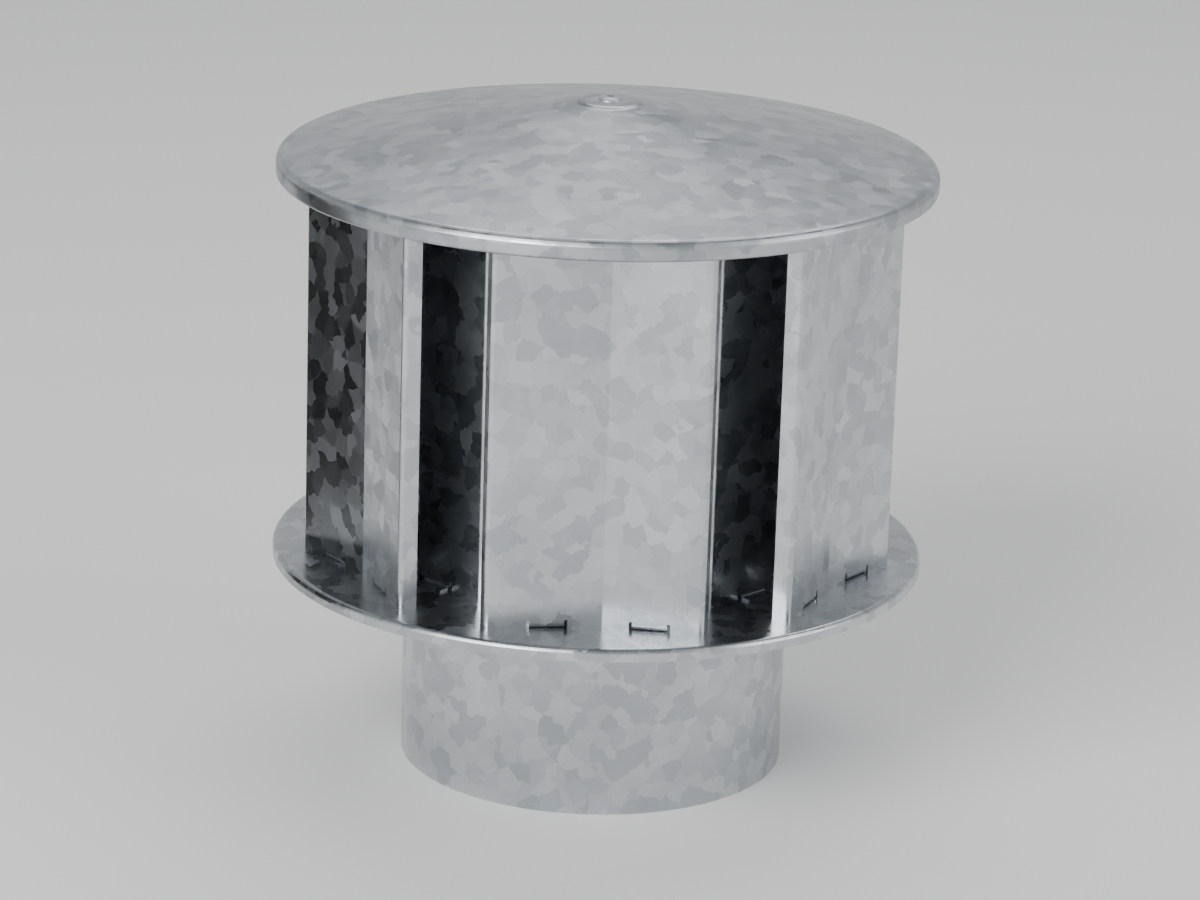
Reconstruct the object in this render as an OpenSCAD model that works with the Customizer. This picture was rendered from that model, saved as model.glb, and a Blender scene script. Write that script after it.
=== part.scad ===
// Vent cap for a round gas flue, made of galvanised steel sheet.
// A conical rain cap and a flat base ring hold two staggered rings of folded baffles
// above a plain collar that slips over the flue pipe.
// Millimetres, +Z up, the front is -Y, the origin is the centre of the collar's lower edge.

/* [Sheet] */
// Thickness of the galvanised sheet
sheet = 0.6; // [0.5:0.1:0.8]
// Inside radius of an ordinary bend
bend_r = 0.8; // [0.6:0.1:1.2]

/* [Collar] */
// Inside diameter of the collar, a slip fit over a 4 inch pipe end
collar_bore_d = 102.4; // [101.8:0.2:103.6]
// Height of the base ring's top face above the collar's lower edge
collar_h = 59; // [50:1:70]
// Radial width of the turned-out flange that lies on the base ring
collar_flange_w = 4.4; // [3:0.2:6]
// Straight slant of the locking bead below the base ring
bead_slant = 1; // [0.4:0.1:1.4]
// Width of the lock seam down the back of the collar
seam_w = 8; // [6:0.5:10]

/* [Inner baffles] */
// Space between the collar's flange and the inner baffles
flange_space = 1.6; // [0.6:0.1:3]
// Angle of an inner baffle's facets off the tangent, with the ridge outward
inner_facet_a = 14; // [8:1:16]
// Angle about the axis that one facet takes up
inner_half_a = 21.8; // [18:0.2:24]

/* [Outer baffles] */
// Radial way between the inner ridges and the outer folds
passage_w = 9.8; // [7:0.1:14]
// Angle of an outer baffle's facets off the tangent, with the fold inward
outer_facet_a = 7.5; // [4:0.5:11]
// Angle about the axis that one facet takes up
outer_half_a = 20.5; // [17:0.5:23]
// Width of the lip turned back along each upright edge
lip_w = 4.4; // [3:0.2:6]
// Angle of the lip off the tangent
lip_a = 77; // [55:1:88]
// Distance that the front baffle's fold was made off its middle
front_fold_shift = 2; // [-3:0.5:3]

/* [Weld tabs] */
// Width of a weld tab
tab_w = 9; // [7:0.5:10]
// Reach of a tab from the middle of the sheet
tab_reach = 3.8; // [3:0.1:4.2]
// Width of the relief slot on each side of a foot tab
relief_w = 0.8; // [0.6:0.1:1]
// Place of a tab along a facet of an outer baffle, as a share of its width
outer_tab_at = 0.47; // [0.35:0.01:0.6]
// Place of a tab along a facet of an inner baffle, as a share of its width
inner_tab_at = 0.66; // [0.4:0.01:0.7]

/* [Rain cap and base ring] */
// Overhang of the cap and the ring beyond the outer baffles
overhang = 8.4; // [5:0.5:14]
// Height of the cap's shoulder above the base ring
shoulder_h = 104; // [90:1:115]
// Slope of the cone
cone_slope = 10.8; // [8:0.2:15]
// Inside radius of the rounded shoulder
shoulder_r = 1.8; // [1.2:0.1:2.6]
// Height of the turned-down rim below the shoulder
rim_h = 3; // [2.4:0.2:5]
// Height of the hem folded up inside the rim
hem_h = 1.8; // [1:0.2:2]
// Radius of the flattened button at the apex
button_r = 7.4; // [6:0.2:10]
// Diameter of the blind rivet that closes the pilot hole
rivet_d = 3.2; // [2.4:0.2:4]
// Height of the base ring's turned-down edge
ring_edge_h = 3.2; // [2.6:0.2:5]

/* [Hidden] */

$fn = 120;
baffles = 6;
pitch = 360 / baffles;
// Angle of one step of a drawn bend
bend_step = 15;
// Air left between the cone and the top edges of the baffles
cap_gap = 0.1;
// Radial clearance of pieces that slip into each other
slip = 0.1;
// Length by which a cut runs past what it cuts
past = 2 * sheet;

mid_bend = bend_r + sheet / 2;

collar_in_r = collar_bore_d / 2;
collar_out_r = collar_in_r + sheet;
flange_bend_r = 0.4;
flange_r = collar_out_r + collar_flange_w;
ring_hole_r = collar_out_r + flange_bend_r + slip;

bead_turn = 50;
bead_bend_r = 0.7;
bead_mid_r = bead_bend_r + sheet / 2;
bead_h = 4 * bead_mid_r * sin(bead_turn) + 2 * bead_slant * cos(bead_turn);
bead_top = collar_h - sheet - slip;
bead_start = bead_top - bead_h;

// Middle lines of the baffles: the fold's radius, and the corner where a facet ends
inner_r = (flange_r + flange_space + sheet / 2) / cos(inner_facet_a);
outer_r = inner_r + passage_w + sheet;
inner_w = inner_r * sin(inner_half_a) / cos(inner_half_a - inner_facet_a);
outer_w = outer_r * sin(outer_half_a) / cos(outer_half_a + outer_facet_a);
inner_edge = [inner_w * cos(inner_facet_a), inner_r - inner_w * sin(inner_facet_a)];
outer_edge = [outer_w * cos(outer_facet_a), outer_r + outer_w * sin(outer_facet_a)];
rim_r = norm(outer_edge) + overhang;

shoulder_z = collar_h + shoulder_h;
shoulder_mid_r = shoulder_r + sheet / 2;
hem_bend_r = 0.3;
rivet_hole_r = rivet_d / 2 + slip;
button_turn = 35;
button_bend_r = 1.2;
button_mid_r = button_bend_r + sheet / 2;
button_step = 0.4;
// Middle line of the sheet where the cone starts at the button's foot
cone_in_r = button_r + button_mid_r * (2 * sin(button_turn) - sin(cone_slope))
    + button_step * cos(button_turn);
cone_run = (rim_r - sheet / 2 - cone_in_r - shoulder_mid_r * (1 - sin(cone_slope))) / cos(cone_slope);
cone_in_z = shoulder_z + shoulder_mid_r * cos(cone_slope) + cone_run * sin(cone_slope);
button_z = cone_in_z + button_mid_r * (1 - 2 * cos(button_turn) + cos(cone_slope))
    + button_step * sin(button_turn);

// Height of the cone's underside at a radius
function under_cone(r) = cone_in_z - (r - cone_in_r) * tan(cone_slope) - sheet / 2 / cos(cone_slope);

function unit(a) = [cos(a), sin(a)];
function left_of(a) = [-sin(a), cos(a)];
function reverse(list) = [for (i = [len(list) - 1:-1:0]) list[i]];

// One side of a folded sheet, at a distance to the left of its middle line.
// Each move is a straight run, then a turn to the left, then the turn's inside radius.
function sheet_side(moves, off, p, a, i = 0) =
    i == len(moves) ? [] :
    let (
        run_end = p + moves[i][0] * unit(a),
        turn = moves[i][1],
        r = sign(turn) * (moves[i][2] + sheet / 2),
        steps = ceil(abs(turn) / bend_step),
        centre = run_end + r * left_of(a)
    )
    concat(
        i == 0 ? [p + off * left_of(a)] : [],
        moves[i][0] > 0 ? [run_end + off * left_of(a)] : [],
        [for (k = [1:1:steps]) centre + (off - r) * left_of(a + turn * k / steps)],
        sheet_side(moves, off, centre - r * left_of(a + turn), a + turn, i + 1)
    );

// Closed outline of a folded sheet
function sheet_outline(moves, p, a) = concat(
    sheet_side(moves, sheet / 2, p, a),
    reverse(sheet_side(moves, -sheet / 2, p, a))
);

// Moves of one facet that leaves the fold at angle a, with a lip turned back at its end
function facet_moves(a, w, lip) =
    let (set_back = mid_bend * tan((a + lip_a) / 2))
    lip > 0
        ? [[0, a, bend_r], [w - set_back, -a - lip_a, bend_r], [lip - set_back, 0, 0]]
        : [[0, a, bend_r], [w, 0, 0]];

// Angle and width of the facet from a fold to an edge
function facet_angle(fold, edge) = atan2(edge[1] - fold[1], edge[0] - fold[0]);
function mirror_x(p) = [-p[0], p[1]];

// Half of a baffle's outline, from the inside of the fold round the edge to the outside of the fold
function half_outline(fold, edge, lip) =
    let (moves = facet_moves(facet_angle(fold, edge), norm(edge - fold), lip))
    concat(
        sheet_side(moves, -sheet / 2, fold, 0),
        reverse(sheet_side(moves, sheet / 2, fold, 0))
    );

// Outline of a baffle in plan, its fold pointing along +Y
function baffle_outline(fold, edge, lip) =
    let (
        right = half_outline(fold, edge, lip),
        left = half_outline(mirror_x(fold), edge, lip),
        n = len(left)
    )
    concat(right, [for (i = [n - 2:-1:1]) mirror_x(left[i])]);

module turn_to(i) {
    rotate([0, 0, 180 + i * pitch]) children();
}

// Moves a child onto the middle line of both facets, with +X along the facet and +Y away from the axis
module on_facets(fold, edge, at) {
    for (side = [0, 1]) {
        from = side == 0 ? fold : mirror_x(fold);
        a = facet_angle(from, edge);
        mirror([side, 0, 0])
            translate(from + [mid_bend * sin(abs(a)), sign(a) * mid_bend * (1 - cos(a))])
            rotate(a)
            translate([at * norm(edge - from), 0])
            children();
    }
}

// Space between the base ring and the cone, less a gap below the cone
module chamber(gap) {
    in_r = collar_in_r - past;
    out_r = rim_r - shoulder_mid_r - sheet;
    rotate_extrude()
        polygon([
            [in_r, collar_h],
            [out_r, collar_h],
            [out_r, under_cone(out_r) - gap],
            [in_r, under_cone(in_r) - gap]
        ]);
}

// Foot tab: flat on the base ring, then bent up into the baffle. It points outward or inward
module foot_tab(outward) {
    moves = [[tab_reach - mid_bend, -90, bend_r], [relief_w + past, 0, 0]];
    rotate([90, 0, 90])
        linear_extrude(tab_w, center = true)
        mirror([outward ? 0 : 1, 0])
        polygon(sheet_outline(moves, [tab_reach, collar_h + sheet / 2], 180));
}

// Cut-out of the baffle's lower edge for a foot tab and its two reliefs
module foot_notch() {
    h = mid_bend + sheet / 2 + relief_w;
    translate([-tab_w / 2 - relief_w, -past, collar_h - past])
        cube([tab_w + 2 * relief_w, 2 * past, h + past]);
}

// Blank of a top tab, before the cone trims it. It points outward or inward
module top_blank(outward) {
    low = under_cone(rim_r);
    translate([-tab_w / 2, outward ? 0 : -tab_reach, low])
        cube([tab_w, tab_reach, under_cone(0) - low]);
}

// A baffle: a folded sheet trimmed by the cone, with foot tabs and top tabs on both facets
module baffle(fold, edge, lip, tab_at, outward) {
    intersection() {
        chamber(cap_gap);
        union() {
            difference() {
                translate([0, 0, collar_h])
                    linear_extrude(under_cone(0) - collar_h)
                    polygon(baffle_outline(fold, edge, lip));
                on_facets(fold, edge, tab_at) foot_notch();
            }
            on_facets(fold, edge, tab_at) foot_tab(outward);
            difference() {
                on_facets(fold, edge, tab_at) top_blank(outward);
                chamber(cap_gap + sheet);
            }
        }
    }
}

// Folded panel that faces out, with lips along its upright edges. The first one faces the front
module outer_baffle(i) {
    shift = i == 1 ? -front_fold_shift : 0;
    color([0.74, 0.75, 0.77])
        turn_to(i - 1)
        baffle([shift, outer_r], outer_edge, lip_w, outer_tab_at, false);
}

// Folded panel behind the gap that follows an outer baffle
module inner_baffle(i) {
    color([0.52, 0.53, 0.55])
        turn_to(i - 0.5)
        baffle([0, inner_r], inner_edge, 0, inner_tab_at, true);
}

// Cone of one pressed disc: flattened button, cone, rounded shoulder, rim and hem
module cap_top() {
    moves = [
        [button_r - rivet_hole_r, -button_turn, button_bend_r],
        [button_step, button_turn - cone_slope, button_bend_r],
        [cone_run, cone_slope - 90, shoulder_r],
        [rim_h - hem_bend_r - sheet, -180, hem_bend_r],
        [hem_h, 0, 0]
    ];
    color([0.66, 0.67, 0.69])
        rotate_extrude()
        polygon(sheet_outline(moves, [rivet_hole_r, button_z], 0));
}

// Blind rivet in the pilot hole at the apex
module apex_rivet() {
    shank_r = rivet_d / 2;
    head_r = rivet_d;
    head_h = 0.3 * rivet_d;
    dimple_r = 0.3 * rivet_d;
    bulb_r = 0.75 * rivet_d;
    bulb_h = rivet_d;
    top = button_z + sheet / 2;
    under = button_z - sheet / 2;
    arc_end = 70;
    color([0.45, 0.46, 0.48])
        rotate_extrude()
        polygon(concat(
            [[0, under - bulb_h], [0.8 * bulb_r, under - bulb_h], [bulb_r, under - 0.85 * bulb_h]],
            [[bulb_r, under], [shank_r, under], [shank_r, top]],
            [for (a = [0:14:arc_end]) [head_r * cos(a), top + head_h * sin(a) / sin(arc_end)]],
            [[dimple_r, top + head_h], [dimple_r, top + 0.2 * head_h], [0, top + 0.2 * head_h]]
        ));
}

// Flat ring with a turned-down edge
module base_ring() {
    moves = [
        [rim_r - sheet / 2 - mid_bend - ring_hole_r, -90, bend_r],
        [ring_edge_h - mid_bend - sheet / 2, 0, 0]
    ];
    color([0.70, 0.71, 0.73])
        rotate_extrude()
        polygon(sheet_outline(moves, [ring_hole_r, collar_h - sheet / 2], 0));
}

// Rolled tube with a lock seam at the back. Its locking bead and flange clamp the base ring
module collar() {
    moves = [
        [bead_start, -bead_turn, bead_bend_r],
        [bead_slant, 2 * bead_turn, bead_bend_r],
        [bead_slant, -bead_turn, bead_bend_r],
        [collar_h - flange_bend_r - bead_top, -90, flange_bend_r],
        [collar_flange_w - flange_bend_r, 0, 0]
    ];
    color([0.72, 0.73, 0.75]) {
        rotate_extrude()
            polygon(sheet_outline(moves, [collar_in_r + sheet / 2, 0], 90));
        intersection() {
            difference() {
                cylinder(h = bead_start - sheet, r = collar_out_r + 2 * sheet);
                translate([0, 0, -past])
                    cylinder(h = bead_start + 2 * past, r = collar_in_r + sheet / 2);
            }
            translate([-seam_w / 2, 0, 0])
                cube([seam_w, flange_r, bead_start]);
        }
    }
}

cap_top();
apex_rivet();
for (i = [1:baffles]) {
    outer_baffle(i);
    inner_baffle(i);
}
base_ring();
collar();
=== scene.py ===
import bpy
import math
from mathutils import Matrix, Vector


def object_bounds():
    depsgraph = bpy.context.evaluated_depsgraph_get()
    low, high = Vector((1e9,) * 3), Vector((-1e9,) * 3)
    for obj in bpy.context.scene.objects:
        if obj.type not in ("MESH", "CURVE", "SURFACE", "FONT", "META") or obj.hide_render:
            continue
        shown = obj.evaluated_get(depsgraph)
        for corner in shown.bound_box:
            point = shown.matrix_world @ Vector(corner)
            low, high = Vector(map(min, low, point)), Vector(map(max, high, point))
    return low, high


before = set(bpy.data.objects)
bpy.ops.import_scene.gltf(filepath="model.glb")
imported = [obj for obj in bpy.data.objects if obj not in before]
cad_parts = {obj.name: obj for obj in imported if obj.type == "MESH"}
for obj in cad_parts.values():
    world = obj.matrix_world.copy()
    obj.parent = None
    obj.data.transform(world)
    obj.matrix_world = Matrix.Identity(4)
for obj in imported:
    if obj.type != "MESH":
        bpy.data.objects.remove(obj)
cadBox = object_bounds()
mm = 0.001
print("frame loaded:", len(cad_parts), "nodes")


# camera
# the photo was taken with a long lens from a little above the cap, and is tilted slightly
cameraView = {
    "distance": 1.2,        # metres from the middle of the drum
    "elevation": 16.8,      # degrees above the horizon, seen from the drum
    "drumHeight": 0.100,    # the height that the distance and elevation are taken from
    "aim": (0.0002, 0, 0.0843),
    "roll": 1.8,            # degrees, the object leans to the right
    "lens": 134.6,
    "clipStart": 0.05,
}


def addCamera(view):
    rise = math.radians(view["elevation"])
    place = Vector((0, -math.cos(rise), math.sin(rise))) * view["distance"]
    place.z += view["drumHeight"]
    look = Vector(view["aim"]) - place
    turn = look.to_track_quat("-Z", "Y").to_euler()
    turn.rotate_axis("Z", math.radians(view["roll"]))
    bpy.ops.object.camera_add(location=place, rotation=turn)
    camera = bpy.context.object
    camera.data.lens = view["lens"]
    camera.data.clip_start = view["clipStart"]
    bpy.context.scene.camera = camera


addCamera(cameraView)
print("camera set")


# small helpers
def srgb(code):
    opaque = 1
    parts = [int(code[i:i + 2], 16) / 255 for i in (1, 3, 5)]
    linear = [c / 12.92 if c <= 0.04045 else ((c + 0.055) / 1.055) ** 2.4 for c in parts]
    return linear + [opaque]


def addNode(tree, kind, settings, links):
    node = tree.nodes.new("ShaderNode" + kind)
    for key, value in settings.items():
        if isinstance(key, int) or key in node.inputs:
            node.inputs[key].default_value = value
        else:
            setattr(node, key, value)
    for key, source in links.items():
        tree.links.new(source, node.inputs[key])
    return node


# studio: a pale floor and soft lights
studio = {
    "floorSize": 8.0,
    "floorColour": "#E9E9E8",
    "floorRoughness": 0.9,
    "floorShine": 0.1,
    "horizon": "#F4F5F6",
    "zenith": "#8E9296",
    "zenithFrom": 0.75,     # height on the sky's sphere above which it is all zenith
    "worldStrength": 0.9,
}


def addFloor(s):
    bpy.ops.mesh.primitive_plane_add(size=s["floorSize"], location=(0, 0, cadBox[0][2]))
    floor = bpy.context.object
    floor.name = "floor"
    paint = bpy.data.materials.new("paleFloor")
    paint.use_nodes = True
    shader = paint.node_tree.nodes["Principled BSDF"]
    shader.inputs["Base Color"].default_value = srgb(s["floorColour"])
    shader.inputs["Roughness"].default_value = s["floorRoughness"]
    shader.inputs["Specular IOR Level"].default_value = s["floorShine"]
    floor.data.materials.append(paint)


def addWorld(s):
    world = bpy.data.worlds.new("softStudio")
    bpy.context.scene.world = world
    world.use_nodes = True
    tree = world.node_tree
    back = tree.nodes["Background"]
    coords = addNode(tree, "TexCoord", {}, {})
    split = addNode(tree, "SeparateXYZ", {}, {"Vector": coords.outputs["Generated"]})
    ramp = addNode(tree, "ValToRGB", {}, {"Fac": split.outputs["Z"]})
    low, high = ramp.color_ramp.elements
    low.color = srgb(s["horizon"])
    high.color = srgb(s["zenith"])
    high.position = s["zenithFrom"]
    tree.links.new(ramp.outputs["Color"], back.inputs["Color"])
    back.inputs["Strength"].default_value = s["worldStrength"]


# each light: azimuth from the front (minus is left), elevation, distance, width, height, watts
softLights = {
    "keyFrontLeft": (-34, 30, 1.5, 0.9, 0.9, 22),
    "fillRight": (70, 25, 1.6, 1.0, 1.2, 9),
    "topBack": (170, 60, 1.6, 1.4, 1.0, 10),
}


def addLight(name, azimuth, elevation, distance, width, height, watts):
    a, e = math.radians(azimuth), math.radians(elevation)
    out = Vector((math.sin(a) * math.cos(e), -math.cos(a) * math.cos(e), math.sin(e)))
    middle = Vector((0, 0, cameraView["drumHeight"]))
    turn = (-out).to_track_quat("-Z", "Y").to_euler()
    bpy.ops.object.light_add(type="AREA", location=middle + out * distance, rotation=turn)
    light = bpy.context.object
    light.name = name
    light.data.shape = "RECTANGLE"
    light.data.size = width
    light.data.size_y = height
    light.data.energy = watts


# a black card beside the cap, seen only in the reflections of the steel
flags = {
    "blackCardLeft": {
        "azimuth": -98, "distance": 0.24, "width": 0.14, "height": 0.2, "colour": "#050505",
    },
}


def addFlag(name, f):
    a = math.radians(f["azimuth"])
    place = Vector((math.sin(a), -math.cos(a), 0)) * f["distance"]
    bpy.ops.mesh.primitive_plane_add(size=1, location=(place.x, place.y, f["height"] / 2))
    card = bpy.context.object
    card.name = name
    card.scale = (f["width"], f["height"], 1)
    card.rotation_euler = (math.radians(90), 0, a)
    black = bpy.data.materials.new("blackCard")
    black.use_nodes = True
    shader = black.node_tree.nodes["Principled BSDF"]
    shader.inputs["Base Color"].default_value = srgb(f["colour"])
    shader.inputs["Roughness"].default_value = 1
    card.data.materials.append(black)
    for way in ("camera", "diffuse", "shadow", "transmission", "volume_scatter"):
        setattr(card, "visible_" + way, False)


addFloor(studio)
addWorld(studio)
for name, settings in softLights.items():
    addLight(name, *settings)
for name, settings in flags.items():
    addFlag(name, settings)
print("studio set")


# hot dip galvanised sheet: zinc frozen in flat crystals, the spangle, each one tilted
# and polished a little differently, so the sheet shimmers in patches of light and dark grey
def galvanisedSheet(name, look):
    sheet = bpy.data.materials.new(name)
    sheet.use_nodes = True
    tree = sheet.node_tree
    shader = tree.nodes["Principled BSDF"]
    shader.inputs["Metallic"].default_value = 1
    place = addNode(tree, "TexCoord", {}, {}).outputs["Object"]
    # ragged crystal edges: the pattern is pushed about by a finer noise
    crystal = look["spangle"] * mm
    middleGrey = (0.5, 0.5, 0.5)
    ragged = addNode(tree, "TexNoise", {"Scale": 1 / (look["raggedSize"] * crystal), "Detail": 2.0},
                     {"Vector": place})
    centred = addNode(tree, "VectorMath", {"operation": "SUBTRACT", 1: middleGrey},
                      {0: ragged.outputs["Color"]})
    push = addNode(tree, "VectorMath", {"operation": "SCALE", "Scale": look["raggedPush"] * crystal},
                   {0: centred.outputs[0]})
    pushed = addNode(tree, "VectorMath", {"operation": "ADD"}, {0: place, 1: push.outputs[0]})
    cells = addNode(tree, "TexVoronoi", {"Scale": 1 / crystal}, {"Vector": pushed.outputs[0]})
    grain = addNode(tree, "SeparateColor", {}, {"Color": cells.outputs["Color"]})
    clouds = addNode(tree, "TexNoise",
                     {"Scale": 1 / (look["cloud"] * mm), "Detail": 3.0, "Roughness": 0.6},
                     {"Vector": place})
    # colour: each crystal its own grey, over broad clouds of dull oxide
    greys = addNode(tree, "Mix", {"data_type": "RGBA", 6: srgb(look["dark"]), 7: srgb(look["light"])}, {})
    fromCrystal = addNode(tree, "Math", {"operation": "MULTIPLY", 1: look["crystalShare"]},
                          {0: grain.outputs[0]})
    both = addNode(tree, "Math", {"operation": "MULTIPLY_ADD", 1: look["cloudShare"]},
                   {0: clouds.outputs["Fac"], 2: fromCrystal.outputs[0]})
    tree.links.new(both.outputs[0], greys.inputs[0])
    tree.links.new(greys.outputs[2], shader.inputs["Base Color"])
    # polish: some crystals are brighter mirrors than others
    rough = addNode(tree, "MapRange", {"To Min": look["polish"], "To Max": look["dull"]},
                    {"Value": grain.outputs[1]})
    tree.links.new(rough.outputs["Result"], shader.inputs["Roughness"])
    # relief: slack waves of thin sheet, the faint steps between crystals and fine orange peel
    wave = addNode(tree, "TexNoise", {"Scale": 1 / (look["wave"] * mm), "Detail": 1.0}, {"Vector": place})
    slack = addNode(tree, "Bump", {"Strength": 1.0, "Distance": look["waveDepth"] * mm},
                    {"Height": wave.outputs["Fac"]})
    step = addNode(tree, "Bump", {"Strength": 1.0, "Distance": look["stepDepth"] * mm},
                   {"Height": grain.outputs[2], "Normal": slack.outputs["Normal"]})
    peel = addNode(tree, "TexNoise", {"Scale": 1 / (look["peel"] * mm), "Detail": 2.0}, {"Vector": place})
    skin = addNode(tree, "Bump", {"Strength": 1.0, "Distance": look["peelDepth"] * mm},
                   {"Height": peel.outputs["Fac"], "Normal": step.outputs["Normal"]})
    tree.links.new(skin.outputs["Normal"], shader.inputs["Normal"])
    return sheet


# sizes and depths in mm, shares and roughness from 0 to 1
sheetLook = {
    "spangle": 5, "raggedSize": 0.6, "raggedPush": 0.7,     # crystals, and their edges against their size
    "cloud": 26, "crystalShare": 0.55, "cloudShare": 0.6,
    "wave": 60, "waveDepth": 0.35, "stepDepth": 0.01, "peel": 1.6, "peelDepth": 0.01,
    "dark": "#A2A6AA", "light": "#D2D5D8", "polish": 0.2, "dull": 0.36,
}

# the cone lies open to the rain, so its zinc is greyer and duller than the drum's
finishes = {
    "galvanisedSheet": dict(sheetLook),
    "weatheredCone": dict(sheetLook, dark="#94989C", light="#C4C7CA", polish=0.28, dull=0.46),
}
coneNodes = ("cap_top", "apex_rivet")

sheetFinish = {name: galvanisedSheet(name, look) for name, look in finishes.items()}


def dress(node, finish):
    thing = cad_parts[node]
    thing.data.materials.clear()
    thing.data.materials.append(finish)


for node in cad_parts:
    dress(node, sheetFinish["weatheredCone" if node in coneNodes else "galvanisedSheet"])
print("finishes applied")
